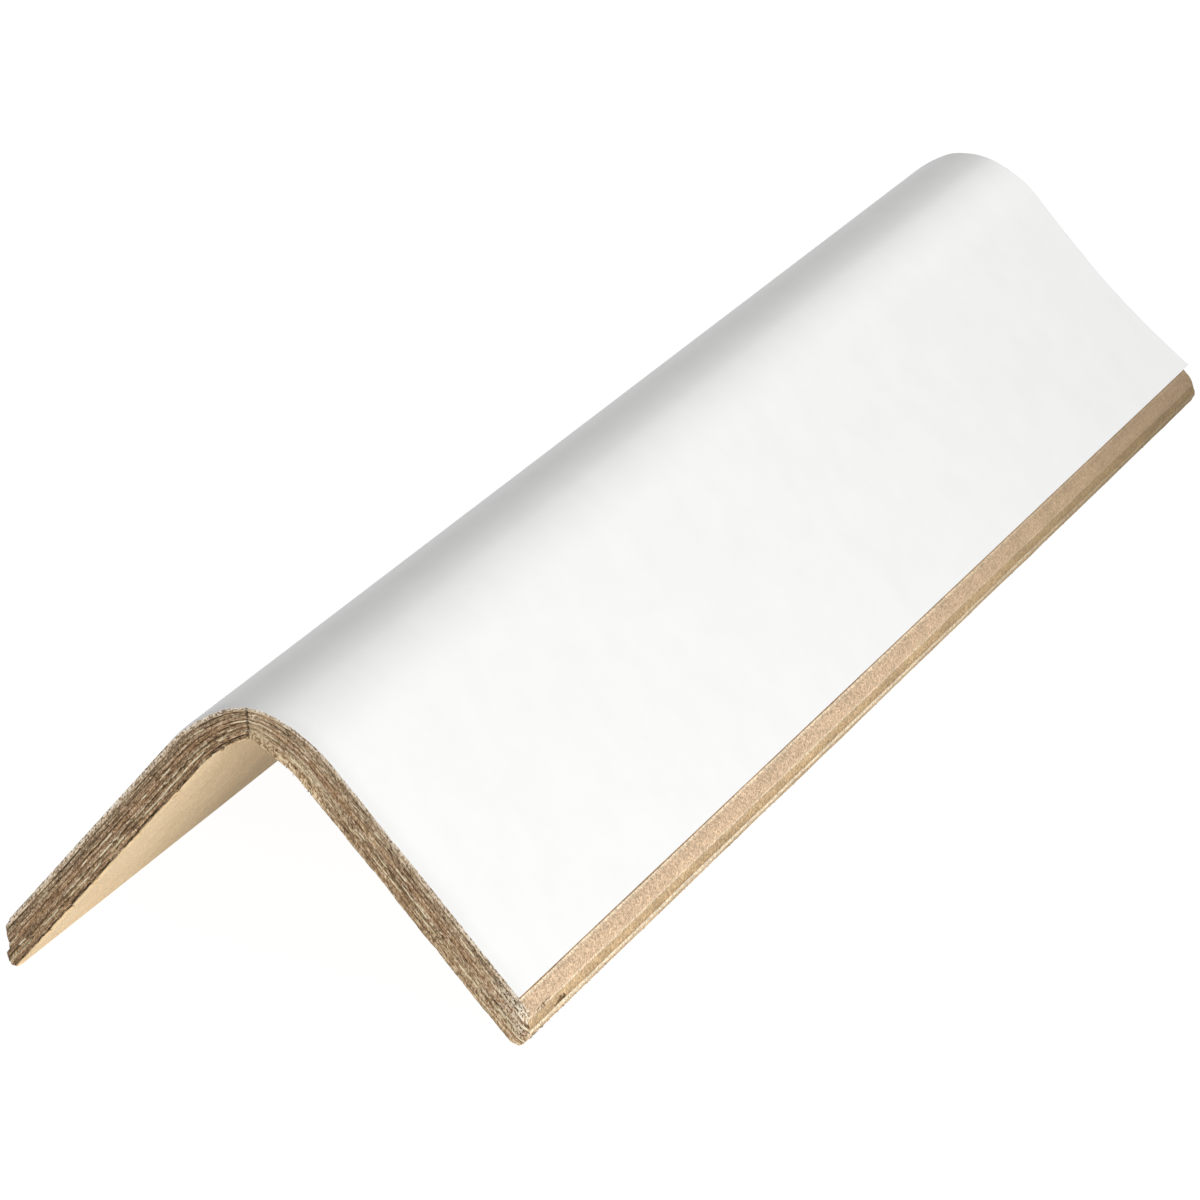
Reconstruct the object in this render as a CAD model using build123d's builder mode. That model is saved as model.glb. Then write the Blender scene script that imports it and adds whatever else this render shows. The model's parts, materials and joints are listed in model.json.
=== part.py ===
from build123d import *
import math
import os

# A corner board: plies of paperboard glued into one stack, bent to an angle while the glue is wet and
# chopped to length. A white liner covers the outside, a smooth kraft liner the inside. The board stands
# like a tent on its two free edges, with the bend along +Y and the origin on the floor at mid length.

# Driving dimensions in millimetres, angles in degrees
LENGTH = 228.6
LEG = 50.8  # from the sharp outer corner of the plies to the furthest ply edge
INCLUDED_ANGLE = 83.0
OUTER_PLIES = 4
INNER_PLIES = 4
PLY_THICKNESS = 0.534
LINER_THICKNESS = 0.3
CREASE_RADIUS = 1.2  # of the inner face at the crown, where the forming rolls crease it
SHOULDER_RADIUS = 16.0  # of the inner face beside the crease
CROWN_PINCH = 2.5  # by which the plies' crown radii grow faster outwards than the plies are thick
PACK_STEP = 0.6  # the inner plies are wider than the outer ones by this at each free edge
TIP_ROUND = 1.0  # the edges of the stack are crushed round
LINER_SETBACK = 1.4  # the white liner stops short of the outermost ply's edge by this

# Derived dimensions
ply_count = OUTER_PLIES + INNER_PLIES
stack = ply_count * PLY_THICKNESS
pack_joint = OUTER_PLIES * PLY_THICKNESS
half_angle = math.radians(INCLUDED_ANGLE / 2)
turn = math.pi / 2 - half_angle
crown_turn = turn / 2
shoulder_turn = turn - crown_turn

# Plies of one width slide over each other in the bend, so each stands out past the one outside it. For
# every millimetre of depth in the stack the free edge gains the turn in radians.
lean = turn
edge_angle = math.atan2(1, lean)
pack_edge_length = min(pack_joint, stack - pack_joint) * math.hypot(1, lean)
tip_round = min(TIP_ROUND, 0.9 * pack_edge_length * math.tan(edge_angle / 2))
sharp_reach = LEG + tip_round * (1 / math.tan(edge_angle / 2) - 1)

# Height of the sharp outer corner above the floor, on which the rounded inner tips rest
tip_height = (LEG - tip_round) * math.cos(half_angle) + (stack - tip_round) * math.sin(half_angle)
corner_height = tip_height + tip_round


def inner_edge(depth):
    """Reach of the wider inner plies along the leg, at a depth below the outermost ply's face."""
    return sharp_reach - lean * (stack - depth)


def outer_edge(depth):
    """Reach of the narrower outer plies along the leg."""
    return inner_edge(depth) - PACK_STEP


def leg_point(reach, depth):
    """Point of the right leg's section, from its reach along the leg and its depth in the stack."""
    across = reach * math.sin(half_angle) - depth * math.cos(half_angle)
    drop = reach * math.cos(half_angle) + depth * math.sin(half_angle)
    return Vector(across, corner_height - drop)


def draw_boundary(depth, reach):
    """Right half of the bent face at one depth: crown arc, shoulder arc and straight leg."""
    pinch = CROWN_PINCH * min(1, 1 - depth / stack)
    crown_radius = CREASE_RADIUS + stack - depth + pinch
    shoulder_radius = SHOULDER_RADIUS + stack - depth
    crown_rise = crown_radius * (math.cos(shoulder_turn) - math.cos(turn))
    shoulder_rise = shoulder_radius * (1 - math.cos(shoulder_turn))
    crown_drop = (depth + crown_rise + shoulder_rise) / math.cos(turn)
    crown_point = (0, corner_height - crown_drop)
    crown = JernArc(crown_point, (1, 0), crown_radius, -math.degrees(crown_turn))
    shoulder = JernArc(crown @ 1, crown % 1, shoulder_radius, -math.degrees(shoulder_turn))
    leg = Line(shoulder @ 1, leg_point(reach, depth))
    return crown @ 0, leg @ 1


def draw_layer(top, bottom, top_reach, bottom_reach):
    """Right half outline of a bent layer between two depths, closed at the free edge and the crown."""
    top_crown, top_tip = draw_boundary(top, top_reach)
    bottom_crown, bottom_tip = draw_boundary(bottom, bottom_reach)
    Line(top_tip, bottom_tip)
    Line(top_crown, bottom_crown)


def pack_section(top, bottom, edge, rounded_depth):
    """Section of a pack of plies that share one slanted free edge, rounded at one depth."""
    with BuildSketch() as section:
        with BuildLine():
            draw_layer(top, bottom, edge(top), edge(bottom))
        make_face()
        tip = leg_point(edge(rounded_depth), rounded_depth)
        fillet(section.vertices().sort_by_distance(tip)[0], tip_round)
        mirror(about=Plane.YZ)
    return section.sketch


def space_below(depth):
    """Section of everything under the bent face at one depth, past the free edges and the floor."""
    with BuildSketch() as section:
        with BuildLine():
            crown_point, leg_end = draw_boundary(depth, LEG + 2 * stack)
            Polyline(leg_end, (0, leg_end.Y), crown_point)
        make_face()
        mirror(about=Plane.YZ)
    return section.sketch


os.makedirs("parts", exist_ok=True)

# White liner, a bleached paper cut square at its two long edges
liner_reach = outer_edge(0) - LINER_SETBACK
with BuildPart() as white_liner:
    with BuildSketch(Plane.XZ):
        with BuildLine():
            draw_layer(-LINER_THICKNESS, 0, liner_reach, liner_reach)
        make_face()
        mirror(about=Plane.YZ)
    extrude(amount=LENGTH / 2, both=True)
white_liner.part.label = "white_liner"
export_step(white_liner.part, "parts/white_liner.step")

# Two packs of plies, the outer one narrower, sliced along their glue lines into single plies
outer_pack = pack_section(0, pack_joint, outer_edge, 0)
inner_pack = pack_section(pack_joint, stack, inner_edge, stack)
for number in range(1, ply_count + 1):
    in_outer_pack = number <= OUTER_PLIES
    first_of_pack = number in (1, OUTER_PLIES + 1)
    last_of_pack = number in (OUTER_PLIES, ply_count)
    with BuildPart() as ply:
        with BuildSketch(Plane.XZ):
            add(outer_pack if in_outer_pack else inner_pack)
            if not first_of_pack:
                add(space_below((number - 1) * PLY_THICKNESS), mode=Mode.INTERSECT)
            if not last_of_pack:
                add(space_below(number * PLY_THICKNESS), mode=Mode.SUBTRACT)
        extrude(amount=LENGTH / 2, both=True)
    ply_name = "kraft_liner" if number == ply_count else f"core_ply_{number}"
    ply.part.label = ply_name
    export_step(ply.part, f"parts/{ply_name}.step")
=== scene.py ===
# %% [markdown]
# # A paperboard corner board
# A corner board is a packing angle. Sheets of recycled paper are glued into one stack, bent over rolls
# while the glue is wet and chopped to length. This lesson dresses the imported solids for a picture: every
# ply gets a mesh of its own, with torn fibres on the chopped ends and crushed free edges.

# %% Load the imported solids
import bpy
import json
import math
import random
from mathutils import Matrix, Vector, kdtree, noise

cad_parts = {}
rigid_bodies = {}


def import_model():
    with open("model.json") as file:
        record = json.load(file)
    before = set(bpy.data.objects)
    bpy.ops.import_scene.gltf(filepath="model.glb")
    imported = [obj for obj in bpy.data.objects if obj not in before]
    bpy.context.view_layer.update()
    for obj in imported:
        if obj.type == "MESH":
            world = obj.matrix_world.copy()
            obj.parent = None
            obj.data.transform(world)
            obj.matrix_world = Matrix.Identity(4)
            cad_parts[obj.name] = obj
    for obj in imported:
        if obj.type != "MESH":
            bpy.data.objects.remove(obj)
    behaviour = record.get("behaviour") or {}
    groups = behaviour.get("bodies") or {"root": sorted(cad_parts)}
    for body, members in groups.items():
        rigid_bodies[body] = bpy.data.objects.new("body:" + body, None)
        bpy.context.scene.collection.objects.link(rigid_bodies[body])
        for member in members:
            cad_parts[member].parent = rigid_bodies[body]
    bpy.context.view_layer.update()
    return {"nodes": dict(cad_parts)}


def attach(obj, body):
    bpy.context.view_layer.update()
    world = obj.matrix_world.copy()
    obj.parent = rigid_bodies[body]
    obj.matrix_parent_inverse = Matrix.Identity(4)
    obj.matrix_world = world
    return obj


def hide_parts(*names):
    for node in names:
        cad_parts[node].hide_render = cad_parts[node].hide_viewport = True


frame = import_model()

print("solids:", ", ".join(sorted(frame["nodes"])))

# %% [markdown]
# ## The bent section
# All plies follow one bend: a tight arc at the crown, a wider arc at the shoulder and a straight leg. The
# numbers are those of the solids, so each mesh starts exactly where its solid is. Lengths are in
# millimetres here and turn into metres when points are placed.

# %% Numbers of the section
LENGTH = 228.6
PLY = 0.534
PLIES = 8
OUTER_PLIES = 4
STACK = PLY * PLIES
LINER = 0.3
CREASE_RADIUS = 1.2
SHOULDER_RADIUS = 16
CROWN_PINCH = 2.5
half_angle = math.radians(41.5)
turn = math.pi / 2 - half_angle
half_turn = turn / 2
CORNER_HEIGHT = 40.4665
LINER_REACH = 46.34
near_y = -LENGTH / 2
far_y = LENGTH / 2
print("stack of", PLIES, "plies is", round(STACK, 3), "mm thick")


# %% Where the bend runs at one depth
def bend_at(depth):
    """Radii of the crown and the shoulder and the height of the crown, at a depth below the plies' top."""
    pinch = CROWN_PINCH * min(1, 1 - depth / STACK)
    crown_radius = CREASE_RADIUS + STACK - depth + pinch
    shoulder_radius = SHOULDER_RADIUS + STACK - depth
    rise = crown_radius * (math.cos(half_turn) - math.cos(turn))
    rise += shoulder_radius * (1 - math.cos(half_turn))
    return crown_radius, shoulder_radius, CORNER_HEIGHT - (depth + rise) / math.cos(turn)


def leg_point(reach, depth):
    """Place on the right leg, across and up, from the reach along the leg and the depth in the stack."""
    across = reach * math.sin(half_angle) - depth * math.cos(half_angle)
    up = CORNER_HEIGHT - reach * math.cos(half_angle) - depth * math.sin(half_angle)
    return across, up


def bend_centres(depth):
    """Centres of the crown arc and the shoulder arc, and the point where the leg starts."""
    crown_radius, shoulder_radius, crown_up = bend_at(depth)
    crown_centre = (0, crown_up - crown_radius)
    step = crown_radius - shoulder_radius
    shoulder_centre = (step * math.sin(half_turn), crown_centre[1] + step * math.cos(half_turn))
    leg_start = (shoulder_centre[0] + shoulder_radius * math.sin(turn),
                 shoulder_centre[1] + shoulder_radius * math.cos(turn))
    return crown_centre, shoulder_centre, leg_start


crown_heights = [round(bend_at(depth)[2], 3) for depth in (0, STACK)]
print("crown of the plies and of the inner face:", crown_heights, "mm up")

# %% Where each ply ends at the free edge
SHARP_REACH = 51.964
PACK_STEP = 0.6
TIP_RADIUS = 1
OUTER_TOP = 47.28
OUTER_ROUND_END = 0.353
INNER_NOSE = 49.8
INNER_ROUND_START = 2.626


def tip_reach(depth, pack):
    """Reach of the slanted free edge, rounded at the top of the outer pack and the nose of the inner."""
    slant = SHARP_REACH - turn * (STACK - depth)
    if pack == "outer":
        if depth > OUTER_ROUND_END:
            return slant - PACK_STEP
        return OUTER_TOP + math.sqrt(max(0, TIP_RADIUS ** 2 - (TIP_RADIUS - depth) ** 2))
    if depth < INNER_ROUND_START:
        return slant
    return INNER_NOSE + math.sqrt(max(0, TIP_RADIUS ** 2 - (depth - STACK + TIP_RADIUS) ** 2))


def along_face(across, up, depth):
    """Length along the bent face from the crown to a point of the right half."""
    crown_radius, shoulder_radius, crown_up = bend_at(depth)
    crown_centre, shoulder_centre, leg_start = bend_centres(depth)
    angle = math.atan2(across - crown_centre[0], up - crown_centre[1])
    if angle <= half_turn + 1e-6:
        return crown_radius * angle
    angle = math.atan2(across - shoulder_centre[0], up - shoulder_centre[1])
    if angle <= turn + 1e-6:
        return crown_radius * half_turn + shoulder_radius * (angle - half_turn)
    bend = crown_radius * half_turn + shoulder_radius * half_turn
    return bend + math.hypot(across - leg_start[0], up - leg_start[1])


def face_point(along, depth):
    """Place of a point of the right half, across and up, and the tilt of the face there."""
    crown_radius, shoulder_radius, crown_up = bend_at(depth)
    crown_centre, shoulder_centre, leg_start = bend_centres(depth)
    shoulder_along = crown_radius * half_turn
    leg_along = shoulder_along + shoulder_radius * half_turn
    if along <= shoulder_along:
        tilt = along / crown_radius
        return crown_radius * math.sin(tilt), crown_centre[1] + crown_radius * math.cos(tilt), tilt
    if along <= leg_along:
        tilt = half_turn + (along - shoulder_along) / shoulder_radius
        across = shoulder_centre[0] + shoulder_radius * math.sin(tilt)
        return across, shoulder_centre[1] + shoulder_radius * math.cos(tilt), tilt
    across = leg_start[0] + (along - leg_along) * math.cos(turn)
    return across, leg_start[1] - (along - leg_along) * math.sin(turn), turn


print("outermost ply is", round(along_face(*leg_point(OUTER_TOP, 0), 0), 2), "mm from crown to free edge")

# %% [markdown]
# ## Drawing a ply
# A ply could be cut from the solid, but a solid's mesh is long thin triangles that can't carry torn
# fibres. So each ply is drawn as paper is laid: one face line of the bend is spun and extruded from a
# single point, some more are drawn below it, and bridging them gives a strip of even squares. Symmetrize
# makes the other leg, and repeated extrusion runs the strip down the length.

# %% One line of the bend
mm = 0.001
CROWN_STEPS = 6
SHOULDER_STEPS = 14
LEG_STEPS = 110


def draw_line(depth, reach):
    """Draws the right half of one bent face line in edit mode: crown, shoulder, leg."""
    crown_centre, shoulder_centre, leg_start = bend_centres(depth)
    bpy.ops.mesh.select_all(action="DESELECT")
    bpy.ops.mesh.primitive_plane_add(size=mm, location=(0, near_y * mm, bend_at(depth)[2] * mm))
    bpy.ops.mesh.merge(type="CENTER")
    for steps, centre in ((CROWN_STEPS, crown_centre), (SHOULDER_STEPS, shoulder_centre)):
        place = (centre[0] * mm, near_y * mm, centre[1] * mm)
        bpy.ops.mesh.spin(steps=steps, angle=half_turn, center=place, axis=(0, -1, 0))
    tip = leg_point(reach, depth)
    leg = ((tip[0] - leg_start[0]) * mm, 0, (tip[1] - leg_start[1]) * mm)
    bpy.ops.mesh.extrude_region_move(TRANSFORM_OT_translate={"value": leg})
    bpy.ops.mesh.select_more()
    bpy.ops.mesh.subdivide(number_cuts=LEG_STEPS - 1)


print("half a face line has", CROWN_STEPS + SHOULDER_STEPS + LEG_STEPS + 1, "points")

# %% One ply from its lines
LENGTH_STEPS = 56


def draw_ply(name, lines):
    """Models a ply from (depth, reach) lines and returns it with the lookup of its section points."""
    bpy.ops.object.select_all(action="DESELECT")
    bpy.ops.mesh.primitive_plane_add(size=mm)
    ply = bpy.context.object
    ply.name = name
    ply.data.name = name
    bpy.ops.object.mode_set(mode="EDIT")
    bpy.ops.mesh.delete(type="VERT")
    for depth, reach in lines:
        draw_line(depth, reach)
    bpy.ops.object.mode_set(mode="OBJECT")
    count = len(ply.data.vertices) // len(lines)
    points = []
    for index, vertex in enumerate(ply.data.vertices):
        depth = lines[index // count][0]
        share = (depth - lines[0][0]) / (lines[-1][0] - lines[0][0])
        across, up = vertex.co.x / mm, vertex.co.z / mm
        points.append((vertex.co.copy(), along_face(across, up, depth), depth, share))
    bpy.ops.object.mode_set(mode="EDIT")
    bpy.ops.mesh.select_all(action="SELECT")
    bpy.ops.mesh.bridge_edge_loops()
    bpy.ops.mesh.select_all(action="SELECT")
    bpy.ops.mesh.symmetrize(direction="POSITIVE_X", threshold=1e-6)
    bpy.ops.mesh.select_all(action="SELECT")
    step = LENGTH / LENGTH_STEPS * mm
    bpy.ops.mesh.extrude_repeat(steps=LENGTH_STEPS, offset=(0, step, 0))
    bpy.ops.mesh.select_all(action="SELECT")
    bpy.ops.mesh.normals_make_consistent(inside=False)
    bpy.ops.object.mode_set(mode="OBJECT")
    tree = kdtree.KDTree(len(points))
    for index, point in enumerate(points):
        tree.insert((point[0].x, 0, point[0].z), index)
    tree.balance()
    return ply, tree, points


print("each ply runs down the length in", LENGTH_STEPS, "steps")

# %% Draw all plies and the white liner
# Each ply has lines close to both of its glue lines, so that the grooves there can be narrow.
LINE_SHARES = (0, 0.14, 0.5, 0.86, 1)
plies = {}
for number in range(1, PLIES + 1):
    top = (number - 1) * PLY
    pack = "outer" if number <= OUTER_PLIES else "inner"
    depths = [top + share * PLY for share in LINE_SHARES]
    name = "kraft_liner_sheet" if number == PLIES else f"core_ply_{number}_sheet"
    plies[name] = draw_ply(name, [(depth, tip_reach(depth, pack)) for depth in depths])
liner_lines = [(-LINER, LINER_REACH), (-LINER / 2, LINER_REACH), (0, LINER_REACH)]
plies["white_liner_sheet"] = draw_ply("white_liner_sheet", liner_lines)
for name, (ply, tree, points) in plies.items():
    print(name, "has", len(ply.data.polygons), "faces,", len(points), "points in half a section")

# %% [markdown]
# ## The chopped ends and the free edges
# A guillotine chops the finished board, and the blade tears the paper more than it cuts it. Each ply's end
# stands a little in front of or behind its neighbours, the glue lines open into grooves, and the crown,
# where the blade lands last, is split by a crease. A bump map would stay flat at the outline, so the
# points of the end grid are moved themselves, by noise in millimetres.


# %% How far the blade tore each point of an end
def smooth_step(value):
    """Goes softly from 0 to 1 as the value does."""
    value = min(1, max(0, value))
    return value * value * (3 - 2 * value)


def torn_depth(along, depth, share, gap, number, end):
    """How far an end point lies behind the cut plane, in millimetres."""
    # Each layer is a height in millimetres times noise, whose waves are counted per millimetre.
    seed = 17.3 * end
    ply_step = 0.10 * noise.noise(Vector((along * 0.12, number * 3.7, 1.9 + seed)))
    shreds = 0.08 * noise.noise(Vector((along * 0.8, depth * 3.2, 4.1 + seed)))
    grit = 0.06 * noise.noise(Vector((along * 2.6, depth * 6.5, 8.3 + seed)))
    at_glue = max(0, abs(share - 0.5) * 2 - 0.6) / 0.4 if depth > 0.1 else 0
    opening = max(0, noise.noise(Vector((along * 0.22, round(depth / PLY) * 4.3, 6.6 + seed))) + 0.15)
    groove = at_glue * (0.05 + 0.35 * opening)
    crease = 0.25 * math.exp(-((along + 0.3) / 0.3) ** 2)
    worn_corner = 0.55 * max(0, 1 - gap / 1.1) ** 2 if number > 0 else 0
    bite = 0
    if number == PLIES and along < -4 and end == 0:
        bite = 0.8 * smooth_step((noise.noise(Vector((along * 0.6, 2.7, 7.7 + seed))) - 0.34) / 0.15)
    return 0.12 + ply_step + shreds + grit + groove + crease + worn_corner + bite


sample = [torn_depth(0.25 * step - 40, 1.0, 0.5, 9, 2, 0) for step in range(320)]
print("torn depth in ply 2: from", round(min(sample), 2), "to", round(max(sample), 2), "mm")

# %% How the free edges and the far cut run
# Depth in the stack and reach along the leg, matched to the right tip in the photograph.
RIGHT_TIP = ((-0.3, 46.34), (0, 47.3), (0.15, 47.9), (0.35, 48.3), (0.55, 48.55), (0.8, 48.7),
             (1.06, 48.75), (1.08, 48.9), (1.4, 49.2), (1.59, 49.5), (1.61, 49.7), (2.1, 50.1),
             (2.14, 50.2), (2.7, 50.38), (3.2, 50.57), (3.7, 50.57), (4.0, 50.42), (4.2, 50.04),
             (4.272, 49.68))


def right_tip(depth):
    """Reach of the right free edge: its outer plies slid further than the left ones, its inner ones less."""
    for (depth_a, reach_a), (depth_b, reach_b) in zip(RIGHT_TIP, RIGHT_TIP[1:]):
        if depth <= depth_b:
            return reach_a + (reach_b - reach_a) * (depth - depth_a) / (depth_b - depth_a)
    return RIGHT_TIP[-1][1]


def ragged_edge(y, number):
    """How far a crushed free edge strays along the leg, in millimetres."""
    fine = 0.05 * noise.noise(Vector((y / 2.3, number * 3.1, 2.2)))
    return fine + 0.06 * noise.noise(Vector((y / 9, number * 5.7, 9.4)))


def edge_mark(offset, depth):
    """How deep the slit under the upper pack and the torn spot below it go into the right free edge."""
    slit = 0.35 * max(0, 1 - abs(offset - 4.5) / 2.4) * max(0, 1 - abs(depth - 0.85) / 0.25)
    return slit + 0.2 * max(0, 1 - abs(offset - 8.8) / 2) * max(0, 1 - abs(depth - 1.7) / 0.2)


def far_skew(along, depth):
    """How far the far cut strays from square: short at the crown, long and slanted at the right tip."""
    skew = -1.9 - 0.6 * math.exp(-(along / 3) ** 2) + 0.4 * math.exp(-((abs(along) - 9) / 4) ** 2)
    if along < 0:
        return skew + 2.2 * max(0, (-along - 23) / 20) ** 1.7
    skew += 4.3 * max(0, (along - 23) / 20) ** 1.7
    if depth < 0:
        return skew
    slant = 0.5 + 3.6 * (1 - math.exp(-depth / 0.9))
    return skew + (slant - skew) * smooth_step((along - 33) / 10)


def frayed_lip(along):
    """How far the kraft liner's cut lip hangs inwards beside the crease, in millimetres."""
    hang = 0.4 * math.exp(-((along - 2.2) / 3) ** 2) + 0.12 * smooth_step((along - 1) / 2)
    return hang + 0.08 * noise.noise(Vector((along * 1.7, 3.3, 5.1)))


left_reach = round(tip_reach(STACK - TIP_RADIUS, "inner"), 2)
print("the right free edge reaches", right_tip(3.2), "mm, the left one", left_reach, "mm")

# %% Move the points of a ply
# How far into the board each change fades out, in millimetres.
TEAR_FADE = 4
SKEW_FADE = 25
SLIDE_FADE = 8
RAGGED_FADE = 3
MARK_FADE = 0.9
LIP_FADE = 2.5
PRESS_FADE = 1.5
# Share of its thickness that the white liner loses at the near cut.
LINER_PRESS = 0.6


def shape_ply(name, number):
    """Grades the steps along the length, then tears the ends and slides the free edges of one ply."""
    ply, tree, points = plies[name]
    lay = ply.data.attributes.new("lay", "FLOAT_VECTOR", "POINT")
    pack = "outer" if number <= OUTER_PLIES else "inner"
    down_leg = Vector((math.sin(half_angle), 0, -math.cos(half_angle)))
    for vertex in ply.data.vertices:
        side = 1 if vertex.co.x >= -1e-7 else -1
        index = tree.find((abs(vertex.co.x), 0, vertex.co.z))[1]
        start, along, depth, share = points[index]
        reach = LINER_REACH if number == 0 else tip_reach(depth, pack)
        gap = along_face(*leg_point(reach, depth), depth) - along
        step = round((vertex.co.y / mm - near_y) / LENGTH * LENGTH_STEPS)
        offset = LENGTH * (1 - math.cos(math.pi * step / LENGTH_STEPS)) / 2
        slip = 0
        if number > 0:
            slip = ragged_edge(near_y + offset, number + 20 * side) * max(0, 1 - gap / RAGGED_FADE)
            if side > 0:
                slip += (right_tip(depth) - reach) * smooth_step(1 - gap / SLIDE_FADE)
                slip -= edge_mark(offset, depth) * max(0, 1 - gap / MARK_FADE)
        along *= side
        lay.data[vertex.index].vector = (along, depth, share)
        from_far = LENGTH - offset
        torn_near = torn_depth(along, depth, share, gap, number, 0) * max(0, 1 - offset / TEAR_FADE)
        torn_far = torn_depth(along, depth, share, gap, number, 1) * max(0, 1 - from_far / TEAR_FADE)
        skew = far_skew(along, depth) * smooth_step(1 - from_far / SKEW_FADE)
        vertex.co.y = (near_y + offset + torn_near - torn_far + skew) * mm
        vertex.co += Vector((side * down_leg.x, 0, down_leg.z)) * slip * mm
        if number == PLIES:
            vertex.co.z -= frayed_lip(along) * share * max(0, 1 - offset / LIP_FADE) * mm
        if number == 0:
            # The blade pressed the liner's outer face down on the first ply.
            count = len(points) // len(liner_lines)
            below = points[index % count + 2 * count][0] - start
            pressed = LINER_PRESS * (1 - share) * smooth_step(1 - offset / PRESS_FADE)
            vertex.co += Vector((side * below.x, 0, below.z)) * pressed
    return ply


core_names = [f"core_ply_{number}_sheet" for number in range(1, PLIES)]
names = ["white_liner_sheet"] + core_names + ["kraft_liner_sheet"]
for number, name in enumerate(names):
    ply = shape_ply(name, number)
    print(name, "shaped,", len(ply.data.vertices), "points")

# %% [markdown]
# ## Finishes
# Paper is the only material here, but it shows four faces: the bleached liner, the natural kraft liner,
# the torn end of the stack and its crushed free edges. Colours are written as sRGB hex values, one
# function turns them to linear light, and one helper adds a shader node with its settings and links.


# %% Colour and node helpers
def paint(code):
    """Turns an sRGB hex colour to linear light."""
    channels = [int(code[start:start + 2], 16) / 255 for start in (1, 3, 5)]
    linear = [c / 12.92 if c <= 0.04045 else ((c + 0.055) / 1.055) ** 2.4 for c in channels]
    return (*linear, 1)


def add_node(tree, kind, inputs=None, stops=None, **settings):
    """Adds a shader node with its settings, inputs and colour stops. A node links by its first output."""
    node = tree.nodes.new("ShaderNode" + kind)
    for name, value in settings.items():
        setattr(node, name, value)
    for socket, value in (inputs or {}).items():
        if isinstance(value, bpy.types.Node):
            value = value.outputs[0]
        if isinstance(value, bpy.types.NodeSocket):
            tree.links.new(value, node.inputs[socket])
        else:
            node.inputs[socket].default_value = value
    for index, (position, colour) in enumerate(stops or []):
        ramp = node.color_ramp.elements
        stop = ramp[index] if index < 2 else ramp.new(position)
        stop.position = position
        stop.color = colour
    return node


def new_paper(name, roughness):
    """Starts a paper material and returns it with its tree and its shader."""
    paper = bpy.data.materials.new(name)
    paper.use_nodes = True
    shader = paper.node_tree.nodes["Principled BSDF"]
    shader.inputs["Roughness"].default_value = roughness
    shader.inputs["IOR"].default_value = 1.45
    return paper, paper.node_tree, shader


print("kraft tan in linear light:", [round(value, 3) for value in paint("#D8B488")[:3]])

# %% [markdown]
# ## Bleached liner paper
# The outside is lined with bleached paper that was calendered. It gives the eye a clean white with hardly
# any grain, and at a low angle a soft sheen where it mirrors a large lamp. A plain white would look like
# plastic, so the paper gets a faint cloudiness and a fine tooth.

# %% Bleached liner paper
# Clouds are about 6 mm wide. The real tooth is near 0.1 mm, too fine to show, so it is drawn at 0.4 mm.
bleached, tree, shader = new_paper("bleached_liner_paper", 0.4)
place = add_node(tree, "TexCoord").outputs["Object"]
cloud = add_node(tree, "TexNoise", {"Vector": place, "Scale": 1 / 0.006, "Detail": 3.0})
mottle = add_node(tree, "ValToRGB", {"Fac": cloud},
                  [(0.3, paint("#F2F2F1")), (0.7, paint("#F5F5F4"))])
tree.links.new(mottle.outputs["Color"], shader.inputs["Base Color"])
tooth = add_node(tree, "TexNoise", {"Vector": place, "Scale": 1 / 0.0004, "Detail": 2.0})
bump = add_node(tree, "Bump", {"Strength": 0.06, "Distance": 0.0002, "Height": tooth})
tree.links.new(bump.outputs["Normal"], shader.inputs["Normal"])
print("made", bleached.name)

# %% [markdown]
# ## Torn board end
# Each end shows the plies as bands of slightly different tan, with dark lines at the glue lines between
# them, long shreds that run with the paper, grit where the blade crumbled it, and pale threads of longer
# fibre.
# Where the glue lines open, their dark is painted shade, as is the dark of the crease and of a gap over the
# kraft liner, and the left leg's end is painted darker than the right one's, as shade. It is rough and has
# hardly any gloss. Noise along the room's axes would cut across the bend, so the pattern reads the stored
# way along and depth, and every layer of it follows the plies.

# %% Torn board end: bands of tan, with painted shade left of the crease and painted light right of it
torn, tree, shader = new_paper("torn_board_end", 0.9)
shader.inputs["Specular IOR Level"].default_value = 0.2
lay = add_node(tree, "Attribute", attribute_name="lay").outputs["Vector"]
along, depth, share = add_node(tree, "SeparateXYZ", {"Vector": lay}).outputs
depth_share = add_node(tree, "Math", {0: depth, 1: STACK}, operation="DIVIDE")
bands = add_node(tree, "ValToRGB", {"Fac": depth_share},
                 [(0.0, paint("#AE987C")), (0.05, paint("#B59C7E")), (0.14, paint("#9D866B")),
                  (0.22, paint("#927A60")), (0.33, paint("#A4886B")), (0.46, paint("#9B7958")),
                  (0.58, paint("#A0856A")), (0.65, paint("#886D4F")), (0.74, paint("#A48766")),
                  (0.84, paint("#9C7C5D")), (0.97, paint("#A78D6C"))]).outputs["Color"]
# Along the plies the end is painted darker left of the crease and lighter right of it: painted shade and
# light, as the two legs' cuts face the lamp a little differently.
tone = add_node(tree, "MapRange", {"Value": along, 1: -1.0, 2: 1.0, 3: 0.9, 4: 1.13})
print("bands laid for", torn.name)

# %% Torn board end: shreds and grit
# The plies wave by 0.15 mm over about 6 mm. Shreds are about 17 by 0.2 mm and 3 by 0.17 mm, along the ply
# and through it, and grit is 0.4 by 0.23 mm. They are written as waves per millimetre.
place = add_node(tree, "VectorMath", {0: lay, 1: (0.17, 0, 0)}, operation="MULTIPLY")
wave = add_node(tree, "TexNoise", {"Vector": place, "Scale": 1.0, "Detail": 2.0})
wave = add_node(tree, "MapRange", {"Value": wave, 1: 0.3, 2: 0.7, 3: -0.15, 4: 0.15})
wave = add_node(tree, "CombineXYZ", {"Y": wave})
waved = add_node(tree, "VectorMath", {0: lay, 1: wave}, operation="ADD")
grains = (((0.06, 5.2, 0), 0.55, 1.5), ((0.35, 6.0, 0), 0.72, 1.3), ((2.4, 4.4, 0), 0.74, 1.28))
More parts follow.
